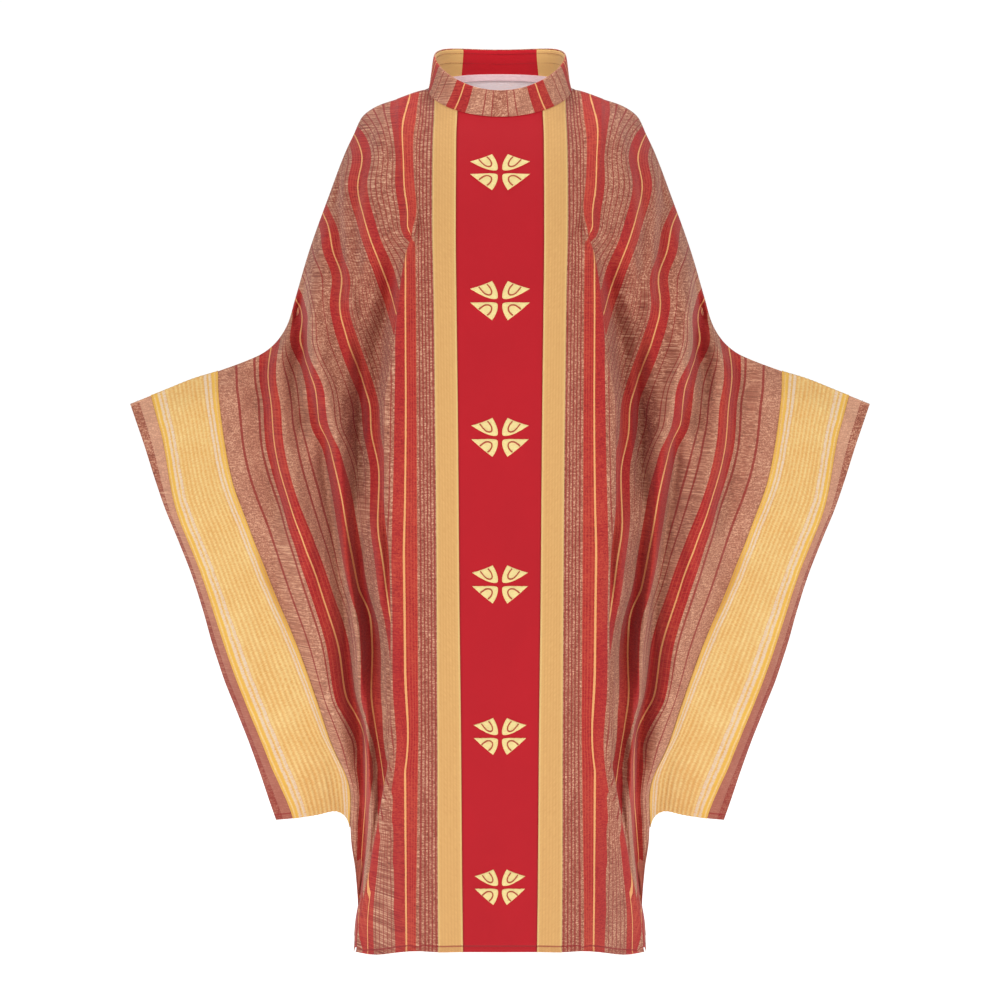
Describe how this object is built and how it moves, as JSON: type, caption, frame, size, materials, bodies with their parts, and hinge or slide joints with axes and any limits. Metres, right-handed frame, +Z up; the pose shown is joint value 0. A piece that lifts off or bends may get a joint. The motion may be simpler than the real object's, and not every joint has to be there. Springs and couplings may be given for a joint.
{
  "type": "chasuble",
  "caption": "Wide pull-on church vestment of striped cloth with a standing collar, a red centre column with embroidered motifs and banded open sleeves.",
  "frame": {"origin": "centre of the neck opening at the height of the shoulder line", "axes": "+Z up, +X to the viewer's right across the garment, the front faces -Y"},
  "size_m": [1.1, 0.3579, 1.3815],
  "materials": {
    "striped_cloth": "melange weave in rose and brown with red and gold stripes, matt",
    "red_cloth": "plain dense red weave with a slight sheen",
    "gold_cloth": "gold slub weave with fine lengthwise lines",
    "ribbed_band": "yellow ribbed weave with pale double stripes and gold edges",
    "embroidery": "pale gold satin stitch with a soft shine",
    "lining": "pale smooth lining",
    "interfacing": "stiff off-white canvas",
    "seam_tape": "turned cloth edge and dark red tape"
  },
  "bodies": {
    "root": {"front_panel_left": "striped_cloth", "front_border_left": "gold_cloth", "front_sleeve_band_left": "ribbed_band", "front_cuff_facing_left": "seam_tape", "front_hem_facing_left": "seam_tape", "front_panel_right": "striped_cloth", "front_border_right": "gold_cloth", "front_sleeve_band_right": "ribbed_band", "front_cuff_facing_right": "seam_tape", "front_hem_facing_right": "seam_tape", "front_orphrey": "red_cloth", "front_yoke_lining": "lining", "front_motif_1": "embroidery", "front_motif_2": "embroidery", "front_motif_3": "embroidery", "front_motif_4": "embroidery", "front_motif_5": "embroidery", "front_motif_6": "embroidery", "back_panel_left": "striped_cloth", "back_border_left": "gold_cloth", "back_sleeve_band_left": "ribbed_band", "back_cuff_facing_left": "seam_tape", "back_hem_facing_left": "seam_tape", "back_panel_right": "striped_cloth", "back_border_right": "gold_cloth", "back_sleeve_band_right": "ribbed_band", "back_cuff_facing_right": "seam_tape", "back_hem_facing_right": "seam_tape", "back_orphrey": "red_cloth", "back_yoke_lining": "lining", "back_motif_1": "embroidery", "back_motif_2": "embroidery", "back_motif_3": "embroidery", "back_motif_4": "embroidery", "back_motif_5": "embroidery", "back_motif_6": "embroidery", "collar_outer": "striped_cloth", "collar_interfacing": "interfacing", "collar_facing": "red_cloth", "neck_tape": "seam_tape"}
  },
  "joints": []
}
